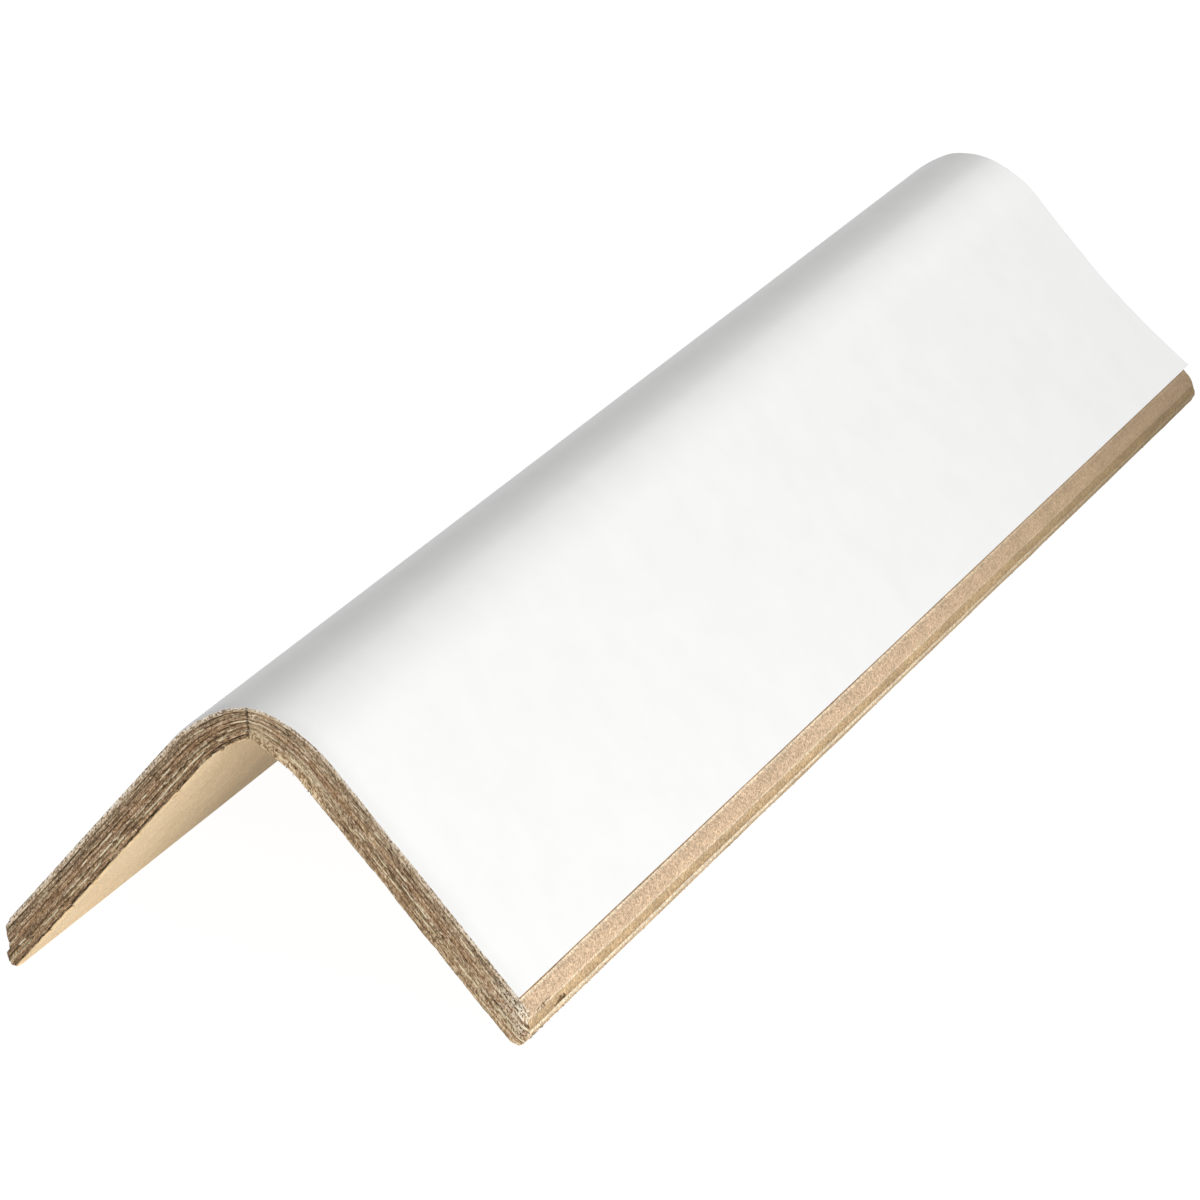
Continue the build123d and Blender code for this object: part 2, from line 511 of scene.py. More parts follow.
for stretch, dark, light in grains:
    place = add_node(tree, "VectorMath", {0: waved, 1: stretch}, operation="MULTIPLY")
    grain = add_node(tree, "TexNoise", {"Vector": place, "Scale": 1.0, "Detail": 2.0})
    grain = add_node(tree, "MapRange", {"Value": grain, 1: 0.33, 2: 0.67, 3: dark, 4: light})
    tone = add_node(tree, "Math", {0: tone, 1: grain}, operation="MULTIPLY")
print("shreds and grit laid for", torn.name)

# %% Torn board end: crumbs
# Real crumbs are finer than 0.1 mm, too fine to show, so they are drawn about twice as coarse.
place = add_node(tree, "VectorMath", {0: lay, 1: (5.2, 6.2, 0)}, operation="MULTIPLY")
crumb = add_node(tree, "TexVoronoi", {"Vector": place, "Scale": 1.0}).outputs["Color"]
crumb = add_node(tree, "SeparateXYZ", {"Vector": crumb}).outputs["X"]
dots = add_node(tree, "MapRange", {"Value": crumb, 1: 0.42, 2: 0.55})
crumb = add_node(tree, "MapRange", {"Value": crumb, 3: 0.5, 4: 1.55})
tone = add_node(tree, "Math", {0: tone, 1: crumb}, operation="MULTIPLY")
dim = add_node(tree, "Math", {0: tone, 1: 1.15}, operation="MINIMUM")
board = add_node(tree, "VectorMath", {0: bands, "Scale": dim}, operation="SCALE")
pale = add_node(tree, "MapRange", {"Value": tone, 1: 1.15, 2: 2.4, 4: 0.8})
board = add_node(tree, "Mix", {0: pale, 6: board, 7: paint("#EADBBD")}, data_type="RGBA").outputs[2]
print("crumbs laid for", torn.name)

# %% Torn board end: painted shade in glue lines that open here and there
# A line stays open or shut for about 5 mm, and the noise changes from ply to ply. Where it is open, its dark
# is painted shade in the groove.
from_middle = add_node(tree, "Math", {0: share, 1: 0.5}, operation="SUBTRACT")
from_middle = add_node(tree, "Math", {0: from_middle}, operation="ABSOLUTE")
place = add_node(tree, "VectorMath", {0: lay, 1: (0.2, 1.9, 0)}, operation="MULTIPLY")
patch = add_node(tree, "TexNoise", {"Vector": place, "Scale": 1.0, "Detail": 2.0})
patch = add_node(tree, "MapRange", {"Value": patch, 1: 0.42, 2: 0.56, 3: 0.05, 4: 0.52})
line = add_node(tree, "MapRange", {"Value": from_middle, 1: 0.32, 2: 0.44})
below_liner = add_node(tree, "Math", {0: depth, 1: 0.1}, operation="GREATER_THAN")
patch = add_node(tree, "Math", {0: patch, 1: below_liner}, operation="MULTIPLY")
line = add_node(tree, "Math", {0: line, 1: patch}, operation="MULTIPLY")
board = add_node(tree, "Mix", {0: line, 6: board, 7: paint("#3A3028")}, data_type="RGBA").outputs[2]
print("glue lines laid for", torn.name)

# %% Torn board end: four pale threads of long fibre
# Each has its depth, a shift that gives it noise of its own, and the level of noise above which it shows.
# It wanders by 0.15 mm over about 3 mm. Real ones are near 0.04 mm thick, too fine to show, so they are
# drawn about 0.14 mm thick.
threads = ((3.2, 31.0, 0.42), (2.65, 47.0, 0.48), (1.05, 71.0, 0.56), (1.85, 13.0, 0.55))
for level, drift, shows in threads:
    place = add_node(tree, "VectorMath", {0: lay, 1: (0.3, 0, 0)}, operation="MULTIPLY")
    place = add_node(tree, "VectorMath", {0: place, 1: (drift, 0, 0)}, operation="ADD")
    wander = add_node(tree, "TexNoise", {"Vector": place, "Scale": 1.0, "Detail": 2.0})
    wander = add_node(tree, "MapRange", {"Value": wander, 3: level - 0.15, 4: level + 0.15})
    away = add_node(tree, "Math", {0: depth, 1: wander}, operation="SUBTRACT")
    away = add_node(tree, "Math", {0: away}, operation="ABSOLUTE")
    thread = add_node(tree, "MapRange", {"Value": away, 1: 0.09, 2: 0.05})
    place = add_node(tree, "VectorMath", {0: place, 1: (0, 5.0, 0)}, operation="ADD")
    patch = add_node(tree, "TexNoise", {"Vector": place, "Scale": 1.3, "Detail": 3.0})
    patch = add_node(tree, "MapRange", {"Value": patch, 1: shows, 2: shows + 0.05, 4: 0.85})
    thread = add_node(tree, "Math", {0: thread, 1: patch}, operation="MULTIPLY")
    board = add_node(tree, "Mix", {0: thread, 6: board, 7: paint("#EFE7CB")}, data_type="RGBA").outputs[2]
print(len(threads), "threads laid for", torn.name)

# %% Torn board end: ragged spots and a straying lip
# Spots are about 0.4 mm wide. The kraft liner's lip strays by 0.07 mm over about 1 mm, and is narrower
# towards the crown.
place = add_node(tree, "VectorMath", {0: lay, 1: (2.4, 2.8, 0)}, operation="MULTIPLY")
ragged = add_node(tree, "TexNoise", {"Vector": place, "Scale": 1.0, "Detail": 2.0})
crumbs = add_node(tree, "MapRange", {"Value": ragged, 1: 0.4, 2: 0.6, 3: 0.35, 4: 1.0})
place = add_node(tree, "VectorMath", {0: lay, 1: (0.9, 0, 0)}, operation="MULTIPLY")
stray = add_node(tree, "TexNoise", {"Vector": place, "Scale": 1.0, "Detail": 3.0})
stray = add_node(tree, "MapRange", {"Value": stray, 1: 0.3, 2: 0.7, 3: -0.07, 4: 0.07})
stray_depth = add_node(tree, "Math", {0: depth, 1: stray}, operation="ADD")
narrow = add_node(tree, "MapRange", {"Value": along, 1: -17.0, 2: -11.0, 4: 0.14})
stray_depth = add_node(tree, "Math", {0: stray_depth, 1: narrow}, operation="SUBTRACT")
print("spots and lip laid for", torn.name)

# %% Torn board end: zones left and right of the crease, in millimetres along and deep
right_half = add_node(tree, "Math", {0: along, 1: -0.1}, operation="GREATER_THAN")
left_half = add_node(tree, "Math", {0: along, 1: -0.6}, operation="LESS_THAN")
corner = add_node(tree, "MapRange", {"Value": along, 1: 38.5, 2: 43.2})
upper = add_node(tree, "MapRange", {"Value": depth, 1: 3.4, 2: 1.2, 4: 0.95})
beside = add_node(tree, "MapRange", {"Value": along, 1: 5.0, 2: 0.8, 4: 0.45})
# The gap over the kraft liner is dark as painted shade.
gap = add_node(tree, "Math", {0: stray_depth, 1: 3.86}, operation="SUBTRACT")
gap = add_node(tree, "Math", {0: gap}, operation="ABSOLUTE")
gap = add_node(tree, "MapRange", {"Value": gap, 1: 0.13, 2: 0.06, 4: 0.9})
place = add_node(tree, "VectorMath", {0: lay, 1: (0.45, 0, 0)}, operation="MULTIPLY")
gap_shade_here = add_node(tree, "TexNoise", {"Vector": place, "Scale": 1.0, "Detail": 2.0})
gap_shade_here = add_node(tree, "MapRange", {"Value": gap_shade_here, 1: 0.42, 2: 0.55, 3: 0.15})
gap_shade_here = add_node(tree, "Math", {0: gap_shade_here, 1: left_half}, operation="MULTIPLY")
lip = add_node(tree, "MapRange", {"Value": stray_depth, 1: 3.98, 2: 4.04, 4: 0.95})
on_liner = add_node(tree, "MapRange", {"Value": depth, 1: 0.5, 2: -0.05, 4: 0.95})
column = add_node(tree, "MapRange", {"Value": along, 1: 1.3, 2: 0.8, 4: 0.75})
high = add_node(tree, "MapRange", {"Value": depth, 1: 2.8, 2: 2.0})
high = add_node(tree, "Math", {0: high, 1: right_half}, operation="MULTIPLY")
fringe = add_node(tree, "MapRange", {"Value": along, 1: 13.0, 2: 8.0, 4: 0.75})
low = add_node(tree, "MapRange", {"Value": depth, 1: 3.5, 2: 3.9})
low = add_node(tree, "Math", {0: low, 1: right_half}, operation="MULTIPLY")
print("zones measured for", torn.name)

# %% Torn board end: colours of the zones
# Each zone has its strength, where it may lie, how broken it is, and its colour. They are crumbs beside the
# crease, a pale column at the crown, a fringe at the inner face, the crumbled right corner, painted shade in
# a gap over the kraft liner, its pale lip and the frayed white liner.
zones = ((beside, right_half, crumbs, "#CDB691"), (column, high, dots, "#EBD7BC"),
         (fringe, low, dots, "#EFD6B0"), (corner, upper, dots, "#EADFCB"),
         (gap, gap_shade_here, 1.0, "#2F2318"), (lip, left_half, 1.0, "#EBCFA4"),
         (on_liner, dots, 1.0, "#EADFD0"))
for zone, limit, broken, colour in zones:
    zone = add_node(tree, "Math", {0: zone, 1: limit}, operation="MULTIPLY")
    zone = add_node(tree, "Math", {0: zone, 1: broken}, operation="MULTIPLY")
    board = add_node(tree, "Mix", {0: zone, 6: board, 7: paint(colour)}, data_type="RGBA").outputs[2]
print(len(zones), "zones laid for", torn.name)

# %% Torn board end: painted shade in the crease at the crown
# The crease is also dented in the geometry; its dark line here is painted shade.
crease = add_node(tree, "MapRange", {"Value": ragged, 1: 0.2, 2: 0.8, 3: 0.05, 4: 0.55})
crease = add_node(tree, "Math", {0: along, 1: crease}, operation="ADD")
crease = add_node(tree, "Math", {0: crease}, operation="ABSOLUTE")
crease = add_node(tree, "MapRange", {"Value": crease, 1: 0.18, 2: 0.06, 4: 0.65})
board = add_node(tree, "Mix", {0: crease, 6: board, 7: paint("#2E2419")}, data_type="RGBA").outputs[2]
tree.links.new(board, shader.inputs["Base Color"])
print("made", torn.name)

# %% [markdown]
# ## Crushed free edge
# Along the free edges the plies' own cut edges show. They were slit cleanly and then rubbed round, so they
# are paler and smoother than the torn ends, and matt: a tan ground with short mottled flecks and a darker
# lower pack. Pale lines at the steps between plies are painted highlight and the dark lines beside them are
# painted shadow, and a slit and the far end are painted darker as shade. Bands by depth draw the plies, and
# flecks by place in the board keep the bands from looking printed.

# %% Crushed free edge: bands of the plies
crushed, tree, shader = new_paper("crushed_free_edge", 0.85)
shader.inputs["Specular IOR Level"].default_value = 0.25
lay = add_node(tree, "Attribute", attribute_name="lay").outputs["Vector"]
along, depth = add_node(tree, "SeparateXYZ", {"Vector": lay}).outputs[:2]
depth_share = add_node(tree, "Math", {0: depth, 1: STACK}, operation="DIVIDE")
# Depth shares near 0.25 and from 0.45 to 0.51 are pale lines, painted highlight on steps of the edge that
# are also in the geometry, and the darker stops from 0.405 to 0.43, just above one of them, are painted
# shadow.
edge = add_node(tree, "ValToRGB", {"Fac": depth_share},
                [(0.0, paint("#D1B596")), (0.05, paint("#CFB394")), (0.225, paint("#CFB394")),
                 (0.242, paint("#E0CDB1")), (0.258, paint("#E0CDB1")), (0.27, paint("#C6AA84")),
                 (0.385, paint("#C3A781")), (0.405, paint("#AE8F67")), (0.43, paint("#AE8F67")),
                 (0.45, paint("#E4D3B7")), (0.51, paint("#E4D3B7")), (0.55, paint("#CDB591")),
                 (0.7, paint("#C4AA86")), (1.0, paint("#C0A57E"))]).outputs["Color"]
print("bands laid for", crushed.name)

# %% Crushed free edge: the strip that the white liner leaves bare
from_crown = add_node(tree, "Math", {0: along}, operation="ABSOLUTE")
strip = add_node(tree, "MapRange", {"Value": from_crown, 1: 42.9, 2: 43.9})
# Its thin dark line right at the white liner's edge is a painted shadow cast by that edge.
strip = add_node(tree, "ValToRGB", {"Fac": strip},
                 [(0.0, paint("#94744F")), (0.2, paint("#94744F")), (0.3, paint("#E6D2B6")),
                  (0.46, paint("#E6D2B6")), (0.6, paint("#CFB394")),
                  (0.95, paint("#D1B596"))]).outputs["Color"]
on_top = add_node(tree, "Math", {0: depth, 1: 0.02}, operation="LESS_THAN")
edge = add_node(tree, "Mix", {0: on_top, 6: edge, 7: strip}, data_type="RGBA").outputs[2]
print("strip laid for", crushed.name)

# %% Crushed free edge: a slit and a torn spot near the mouth
# Middle and half size of each mark, along the length and through the stack, in millimetres. Their outlines
# fray over 0.6 mm.
place = add_node(tree, "TexCoord").outputs["Object"]
length_way = add_node(tree, "SeparateXYZ", {"Vector": place}).outputs["Y"]
length_way = add_node(tree, "Math", {0: length_way, 1: 1000.0}, operation="MULTIPLY")
spot = add_node(tree, "CombineXYZ", {"X": length_way, "Y": depth})
right_leg = add_node(tree, "Math", {0: along, 1: 0.0}, operation="GREATER_THAN")
frayed = add_node(tree, "TexNoise", {"Vector": place, "Scale": 1 / 0.0006, "Detail": 2.0})
# Both marks are also dented in the geometry; the slit's dark brown is painted shade in it.
marks = (((-109.8, 0.8, 0), (2.3, 0.3, 1)), ((-105.3, 1.72, 0), (2.1, 0.17, 1)))
for middle, half_size in marks:
    away = add_node(tree, "VectorMath", {0: spot, 1: middle}, operation="SUBTRACT")
    away = add_node(tree, "VectorMath", {0: away, 1: half_size}, operation="DIVIDE")
    away = add_node(tree, "VectorMath", {0: away}, operation="LENGTH").outputs["Value"]
    away = add_node(tree, "Math", {0: frayed, 1: 2.2, 2: away}, operation="MULTIPLY_ADD")
    mark = add_node(tree, "MapRange", {"Value": away, 1: 2.1, 2: 1.8, 4: 0.85})
    mark = add_node(tree, "Math", {0: mark, 1: right_leg}, operation="MULTIPLY")
    edge = add_node(tree, "Mix", {0: mark, 6: edge, 7: paint("#5E4529")}, data_type="RGBA").outputs[2]
print(len(marks), "marks laid for", crushed.name)

# %% Crushed free edge: plainer towards the far end, and darker there as painted shade
far_edge_shade = add_node(tree, "MapRange", {"Value": length_way, 1: 20.0, 2: 112.0, 3: 1.0, 4: 0.64})
far_share = add_node(tree, "MapRange", {"Value": length_way, 1: -10.0, 2: 100.0, 4: 0.75})
upper_pack = add_node(tree, "Math", {0: depth, 1: 1.12}, operation="LESS_THAN")
plain = add_node(tree, "Mix", {0: upper_pack, 6: paint("#BDA176"), 7: paint("#CFB08B")},
                 data_type="RGBA").outputs[2]
edge = add_node(tree, "Mix", {0: far_share, 6: edge, 7: plain}, data_type="RGBA").outputs[2]
edge = add_node(tree, "VectorMath", {0: edge, "Scale": far_edge_shade}, operation="SCALE")
print("far end laid for", crushed.name)

# %% Crushed free edge: flecks, darker on the lower pack
# As waves per metre: flecks are about 1.7 by 6.7 mm and 0.4 by 0.5 mm.
lower = add_node(tree, "Math", {0: depth, 1: 1.1}, operation="GREATER_THAN")
for stretch, low, high in (((600, 150, 600), 0.92, 1.08), ((2600, 1900, 2600), 0.89, 1.11)):
    where = add_node(tree, "VectorMath", {0: place, 1: stretch}, operation="MULTIPLY")
    fleck = add_node(tree, "TexNoise", {"Vector": where, "Scale": 1.0, "Detail": 2.0})
    dark = add_node(tree, "MapRange", {"Value": lower, 3: low, 4: low - 0.08})
    fleck = add_node(tree, "MapRange", {"Value": fleck, 1: 0.3, 2: 0.7, 3: dark, 4: high})
    edge = add_node(tree, "VectorMath", {0: edge, "Scale": fleck}, operation="SCALE")
print("flecks laid for", crushed.name)

# %% Crushed free edge: crumbs, which fade out towards the far end
# Real crumbs are finer than 0.1 mm, too fine to show, so they are drawn at 0.2 mm.
where = add_node(tree, "VectorMath", {0: place, 1: (5400, 4800, 5400)}, operation="MULTIPLY")
crumb = add_node(tree, "TexVoronoi", {"Vector": where, "Scale": 1.0}).outputs["Color"]
crumb = add_node(tree, "SeparateXYZ", {"Vector": crumb}).outputs["X"]
crumb = add_node(tree, "MapRange", {"Value": crumb, 3: 0.66, 4: 1.36})
crumb = add_node(tree, "Mix", {0: far_share, 2: crumb, 3: 1.0})
edge = add_node(tree, "VectorMath", {0: edge, "Scale": crumb}, operation="SCALE")
tree.links.new(edge.outputs[0], shader.inputs["Base Color"])
bump = add_node(tree, "Bump", {"Strength": 0.5, "Distance": 0.0001, "Height": fleck})
tree.links.new(bump.outputs["Normal"], shader.inputs["Normal"])
print("made", crushed.name)

# %% [markdown]
# ## Natural kraft face
# The inside is lined with unbleached kraft, calendered smooth. It is an even warm tan with a fine fleck
# of shives and a cloudiness of a few millimetres, and it is nearly matt. Layers of noise by place in the
# board are enough, because the face has no pattern that follows the bend.

# %% Natural kraft face
# Clouds are about 4 mm wide. Shives and fibre ends are 0.1 mm or finer, too fine to show, so they are drawn
# at 0.3 mm and 0.22 mm.
kraft, tree, shader = new_paper("natural_kraft_face", 0.7)
shader.inputs["Specular IOR Level"].default_value = 0.3
place = add_node(tree, "TexCoord").outputs["Object"]
cloud = add_node(tree, "TexNoise", {"Vector": place, "Scale": 1 / 0.004, "Detail": 4.0})
tan = add_node(tree, "ValToRGB", {"Fac": cloud},
               [(0.3, paint("#D0B893")), (0.7, paint("#D8C39F"))]).outputs["Color"]
fleck = add_node(tree, "TexNoise", {"Vector": place, "Scale": 1 / 0.0003, "Detail": 2.0})
tone = add_node(tree, "MapRange", {"Value": fleck, 1: 0.3, 2: 0.7, 3: 0.86, 4: 1.13})
tan = add_node(tree, "VectorMath", {0: tan, "Scale": tone}, operation="SCALE")
where = add_node(tree, "VectorMath", {0: place, "Scale": 1 / 0.00022}, operation="SCALE")
crumb = add_node(tree, "TexVoronoi", {"Vector": where, "Scale": 1.0}).outputs["Color"]
crumb = add_node(tree, "SeparateXYZ", {"Vector": crumb}).outputs["X"]
crumb = add_node(tree, "MapRange", {"Value": crumb, 3: 0.84, 4: 1.16})
tan = add_node(tree, "VectorMath", {0: tan, "Scale": crumb}, operation="SCALE")
tree.links.new(tan.outputs[0], shader.inputs["Base Color"])
bump = add_node(tree, "Bump", {"Strength": 0.15, "Distance": 0.0001, "Height": fleck})
tree.links.new(bump.outputs["Normal"], shader.inputs["Normal"])
print("made", kraft.name)

# %% [markdown]
# ## Dressing the pieces
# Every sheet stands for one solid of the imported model. Its broad faces get their paper, and the faces of
# the two ends, which are found by their place and the direction they face, get the torn board.

# %% Give each sheet its finishes and its place in the model
# Share of an end face's direction that runs along the length, and its distance from the end in millimetres.
END_FACING = 0.35
END_ZONE = 2.5
for number, name in enumerate(names):
    sheet = plies[name][0]
    node = name.replace("_sheet", "")
    ground = bleached if number == 0 else kraft if number == PLIES else crushed
    sheet.data.materials.append(ground)
    sheet.data.materials.append(torn)
    for face in sheet.data.polygons:
        middle = abs(face.center.y) / mm
        if abs(face.normal.y) > END_FACING and middle > LENGTH / 2 - END_ZONE:
            face.material_index = 1
    bpy.ops.object.select_all(action="DESELECT")
    sheet.select_set(True)
    bpy.context.view_layer.objects.active = sheet
    bpy.ops.object.shade_smooth_by_angle(angle=math.radians(35))
    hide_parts(node)
    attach(sheet, "root")
    ends = sum(1 for face in sheet.data.polygons if face.material_index == 1)
    print(name, "has", ends, "end faces")

# %% [markdown]
# ## Loose fibres
# Where the blade tore the board, single fibres and small shreds stand out of the ends, and a few are
# rubbed up along the free edges. One fibre is drawn by extruding and tapering a tiny square, and is then
# copied with other lengths and turns. Particles could scatter them, but copies that are placed in code
# stay close to the glue lines, where real shreds hang.

# %% Paper of the fibres
# A loose fibre is matt and has a shade of the torn board, from dark glue to bleached shreds. Noise of about
# 1.1 mm gives neighbours different shades.
fibre_paper, tree, shader = new_paper("loose_paper_fibre", 0.8)
shader.inputs["Specular IOR Level"].default_value = 0.2
place = add_node(tree, "TexCoord").outputs["Object"]
lot = add_node(tree, "TexNoise", {"Vector": place, "Scale": 1 / 0.0011, "Detail": 1.0})
shade = add_node(tree, "ValToRGB", {"Fac": lot},
                 [(0.36, paint("#4E3C29")), (0.46, paint("#8F7352")), (0.54, paint("#B89C76")),
                  (0.66, paint("#DCCAA9"))]).outputs["Color"]
tree.links.new(shade, shader.inputs["Base Color"])
print("made", fibre_paper.name)

# %% One fibre
# Before it is copied it is 1 mm long and 0.07 mm thick. A real one is nearer 0.03 mm, too fine to show.
FIBRE_RADIUS = 0.035
FIBRE_STEP = 0.25
bpy.ops.object.select_all(action="DESELECT")
bpy.ops.mesh.primitive_circle_add(vertices=4, radius=FIBRE_RADIUS, fill_type="NGON")
fibre = bpy.context.object
bpy.ops.object.mode_set(mode="EDIT")
for sideways, width in ((0.02, 1.1), (0.05, 1.0), (0.03, 0.9), (-0.03, 0.5)):
    bpy.ops.mesh.extrude_region_move(TRANSFORM_OT_translate={"value": (sideways, 0, FIBRE_STEP)})
    bpy.ops.transform.resize(value=(width, width, 1))
bpy.ops.mesh.select_all(action="SELECT")
bpy.ops.mesh.normals_make_consistent(inside=False)
bpy.ops.object.mode_set(mode="OBJECT")
fibre.data.materials.append(fibre_paper)
print("one fibre has", len(fibre.data.polygons), "faces")


# %% Copy it over a place
def scatter_fibres(name, poses):
    """Copies the fibre to each pose, joins the copies to one piece and hands it to the model."""
    copies = []
    for pose in poses:
        shape = fibre.data.copy()
        shape.transform(pose)
        copy = bpy.data.objects.new(name, shape)
        bpy.context.scene.collection.objects.link(copy)
        copies.append(copy)
    bpy.ops.object.select_all(action="DESELECT")
    for copy in copies:
        copy.select_set(True)
    bpy.context.view_layer.objects.active = copies[0]
    bpy.ops.object.join()
    piece = bpy.context.object
    piece.name = name
    piece.data.name = name
    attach(piece, "root")
    print(name, "has", len(copies), "fibres")


def end_pose(along, depth, end, length, turned, lift):
    """Lays a fibre on an end along the plies, turned in the plane of the cut and lifted out of it."""
    side = 1 if along >= 0 else -1
    across, up, tilt = face_point(abs(along), depth)
    out = -1 if end == 0 else 1
    torn_in = torn_depth(along, depth, 0.5, 9, 1 + int(depth / PLY), end)
    y = near_y + torn_in if end == 0 else far_y - torn_in + far_skew(along, depth)
    tilt += turned
    run = Vector((side * math.cos(tilt), 0, -math.sin(tilt)))
    run = (run + Vector((0, out * math.sin(lift), 0))).normalized()
    wide = run.cross(Vector((0, out, 0))).normalized()
    thick = run.cross(wide)
    pose = Matrix((wide, thick, run * length)).transposed().to_4x4()
    pose.translation = Vector((side * across, y - out * 0.02, up))
    return Matrix.Scale(mm, 4) @ pose


sample_place = end_pose(0, PLY, 0, 1, 0, 0).translation
print("a fibre on the crown's first glue line is rooted at", [round(value, 4) for value in sample_place])

# %% Scatter fibres on both ends, close to the glue lines
dice = random.Random(7)
for end, name, count, last_along in ((0, "near_end_fibres", 300, 43), (1, "far_end_fibres", 200, 34)):
    poses = []
    for number in range(count):
        along = dice.uniform(-42, last_along)
        depth = dice.randint(1, PLIES - 1) * PLY + dice.gauss(0, 0.1)
        length = dice.uniform(0.4, 0.9) * dice.choice((1, 1, 1.5, 2))
        turned = dice.gauss(0, 0.15)
        poses.append(end_pose(along, depth, end, length, turned, dice.uniform(-0.02, 0.12)))
    scatter_fibres(name, poses)

# %% Tufts that hang from the kraft liner's lip, most of them beside the crease
poses = []
for number in range(80):
    spots = (dice.uniform(0.2, 9), dice.uniform(0.2, 9), dice.uniform(0.2, 4), dice.uniform(-4, -1))
    along = dice.choice(spots)
    depth = STACK - dice.uniform(0.02, 0.3)
    lean = dice.uniform(-0.5, 1.4)
    length = dice.uniform(0.15, 0.5)
    poses.append(end_pose(along, depth, 0, length, lean, dice.uniform(0, 0.4)))
scatter_fibres("lip_tufts", poses)


# %% Fuzz along the free edges, most of it near the mouth
def edge_pose(y, depth, side, length, lean):
    """Lays a fibre along a free edge, leaning out of it."""
    reach = right_tip(depth) if side > 0 else tip_reach(depth, "inner")
    across, up = leg_point(reach - 0.03, depth)
    out = Vector((side * math.sin(half_angle), 0, -math.cos(half_angle)))
    run = out * math.sin(lean) + Vector((0, math.cos(lean), 0))
    wide = run.cross(Vector((side * math.cos(half_angle), 0, math.sin(half_angle)))).normalized()
    pose = Matrix((wide * 0.6, run.cross(wide) * 0.6, run * length)).transposed().to_4x4()
    pose.translation = Vector((side * across, y, up))
    return Matrix.Scale(mm, 4) @ pose


poses = []
for number in range(700):
    y = near_y + 2 + 216 * dice.random() ** 2.5
    depth = dice.uniform(2.2, 3.6)
    side = dice.choice((1, 1, -1))
    length = dice.uniform(0.2, 0.4)
    poses.append(edge_pose(y, depth, side, length, dice.uniform(0.05, 0.5)))
scatter_fibres("edge_fuzz", poses)
bpy.data.objects.remove(fibre)

# %% [markdown]
# ## Studio
# The board stands on a plain white floor under an even grey sky. A low soft lamp at the right front lights
# the leg, the free edge and the mouth. A large lamp far behind on the right is mirrored in the white liner,
# as a sheen that ends at the shoulder. A white table also throws light back into the mouth. Here the floor
# gives off that light itself, and the camera doesn't see it: it is strongest before the mouth and fades
# outwards and under the board. What the camera sees is nearly white by itself, over a dark paint that the
# lamps only just lift to white, so that the board's shadow stays.

# %% Floor
bpy.ops.object.select_all(action="DESELECT")
bpy.ops.mesh.primitive_plane_add(size=6)
floor = bpy.context.object
floor.name = "floor"
paper_white = bpy.data.materials.new("matt_white_floor")
paper_white.use_nodes = True
floor.data.materials.append(paper_white)
print("floor of", floor.dimensions.x, "m")

# %% Paint of the floor, which the camera and gloss see darker
tree = paper_white.node_tree
tree.nodes.clear()
rays = add_node(tree, "LightPath").outputs
seen = add_node(tree, "Math", {0: rays["Is Camera Ray"], 1: rays["Is Glossy Ray"]}, operation="MAXIMUM")
seen = add_node(tree, "Math", {0: seen, 1: rays["Is Transmission Ray"]}, operation="MAXIMUM")
tint = add_node(tree, "Mix", {0: seen, 6: paint("#BCBCBC"), 7: paint("#737373")}, data_type="RGBA")
matt = add_node(tree, "BsdfDiffuse", {"Color": tint.outputs[2]})
print("paint made for", paper_white.name)

# %% Light that the floor throws back
# It is full within 0.1 m of a point before the mouth and nearly gone at 0.32 m. From 14 mm to 49 mm inside
# the mouth it drops by six tenths between the legs.
BEFORE_MOUTH = (0.02, -0.13, 0)
SEEN_WHITE = 0.945
place = add_node(tree, "TexCoord").outputs["Object"]
from_pool = add_node(tree, "VectorMath", {0: place, 1: BEFORE_MOUTH}, operation="DISTANCE")
pool = add_node(tree, "MapRange",
                {"Value": from_pool.outputs["Value"], 1: 0.1, 2: 0.32, 3: 0.78, 4: 0.08})
across, length_way = add_node(tree, "SeparateXYZ", {"Vector": place}).outputs[:2]
away = add_node(tree, "Math", {0: across}, operation="ABSOLUTE")
covered = add_node(tree, "MapRange", {"Value": away, 1: 0.034, 2: 0.03})
inside = add_node(tree, "MapRange", {"Value": length_way, 1: -0.1, 2: -0.065, 4: 0.6})
covered = add_node(tree, "Math", {0: covered, 1: inside}, operation="MULTIPLY")
pool = add_node(tree, "Mix", {0: covered, 2: pool, 3: 0.0})
lift = add_node(tree, "Mix", {0: seen, 2: pool, 3: SEEN_WHITE})
glow = add_node(tree, "Emission", {"Strength": lift})
both = add_node(tree, "AddShader", {0: matt, 1: glow})
add_node(tree, "OutputMaterial", {"Surface": both})
print("made", paper_white.name)

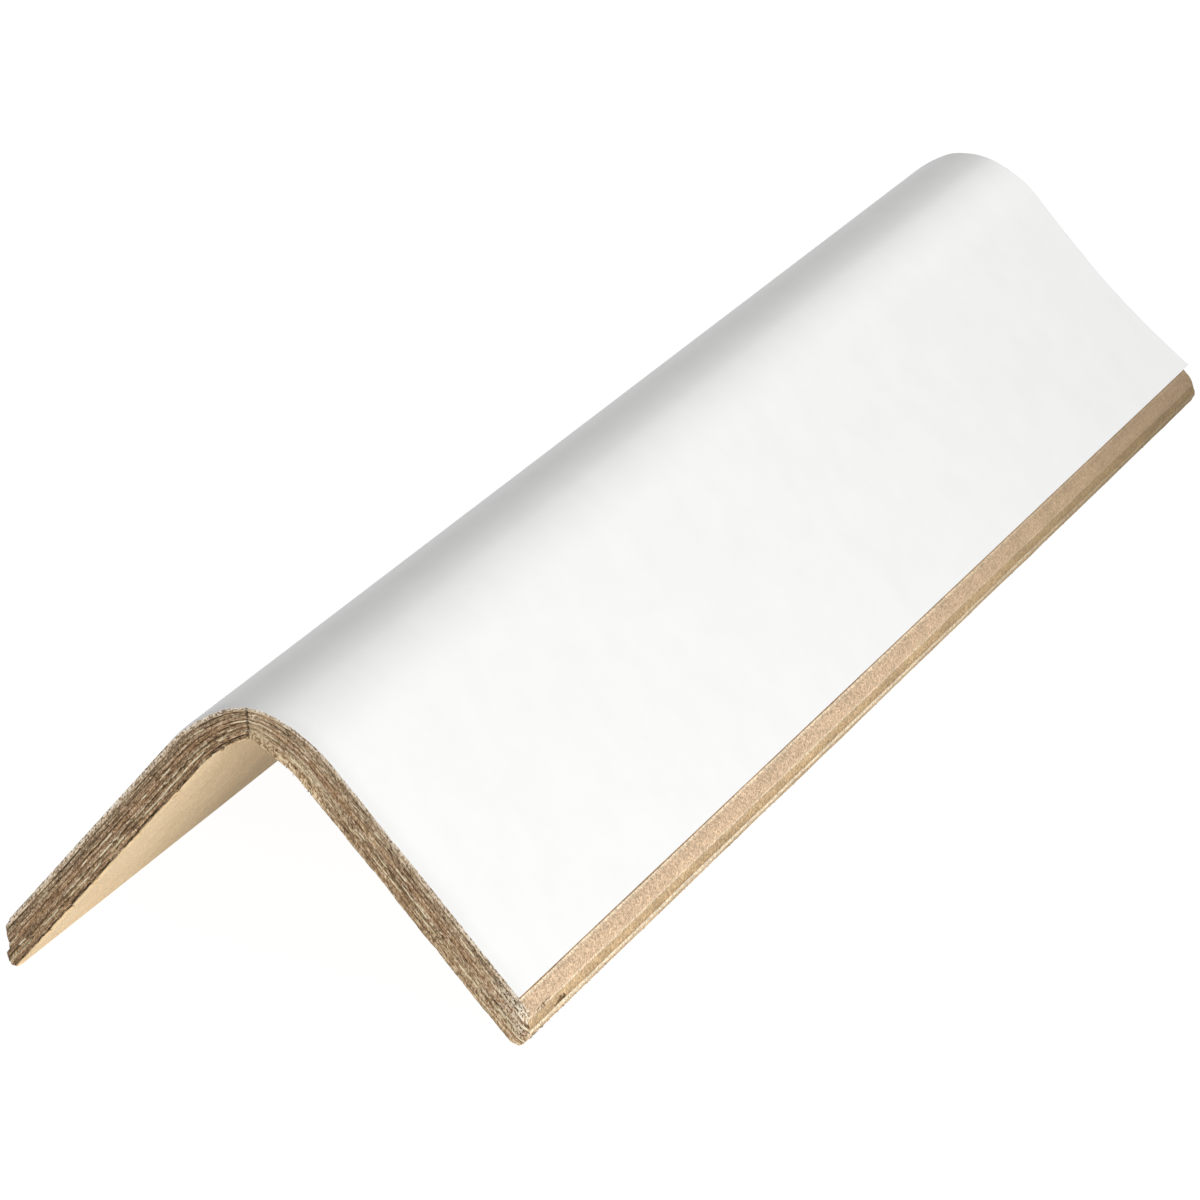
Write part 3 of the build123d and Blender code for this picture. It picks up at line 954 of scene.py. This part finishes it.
# %% Sky, white to the camera and grey to the board
scene = bpy.context.scene
scene.view_settings.view_transform = "Standard"
sky = bpy.data.worlds.new("studio_sky")
scene.world = sky
sky.use_nodes = True
tree = sky.node_tree
background = tree.nodes["Background"]
background.inputs["Color"].default_value = (1, 1, 1, 1)
seen = add_node(tree, "LightPath").outputs["Is Camera Ray"]
level = add_node(tree, "MapRange", {"Value": seen, 1: 0.0, 2: 1.0, 3: 0.5, 4: 1.0})
tree.links.new(level.outputs[0], background.inputs["Strength"])
print("made", sky.name)


# %% Lamps
def add_lamp(name, place, aim, wide, high, power):
    """Adds a soft lamp with a flat front that looks at a point. Sizes are in metres, power is in watts."""
    lamp = bpy.data.lights.new(name, "AREA")
    lamp.shape = "RECTANGLE"
    lamp.size = wide
    lamp.size_y = high
    lamp.energy = power
    stand = bpy.data.objects.new(name, lamp)
    scene.collection.objects.link(stand)
    stand.location = place
    stand.rotation_euler = (Vector(aim) - Vector(place)).to_track_quat("-Z", "Y").to_euler()


add_lamp("low_right_lamp", (0.44, -0.36, 0.055), (0, -0.02, 0.02), wide=0.26, high=0.09, power=1.12)
add_lamp("back_right_lamp", (0.66, 2.0, 1.0), (0, 0.03, 0.02), wide=1.35, high=1.1, power=15.2)
print("lamps:", [lamp.name for lamp in bpy.data.lights])

# %% [markdown]
# ## Camera
# The camera stands to the right of the mouth and above it, as the photograph's did. Its place, its turn and
# its long lens were worked out from the corners of the section and the long edges, so that the two pictures
# lie over each other.

# %% Camera
camera_data = bpy.data.cameras.new("camera")
camera = bpy.data.objects.new("camera", camera_data)
scene.collection.objects.link(camera)
scene.camera = camera
camera_data.sensor_width = 36
camera_data.lens = 181.73
right = Vector((0.91956, 0.39235, -0.02163)).normalized()
back = Vector((0.37518, -0.86031, 0.34513)).normalized()
pose = Matrix((right, back.cross(right), back)).transposed().to_4x4()
pose.translation = Vector((0.27611541, -0.65265923, 0.26838969))
camera.matrix_world = pose
print("camera", round(pose.translation.length, 3), "m from the board, lens", camera_data.lens, "mm")
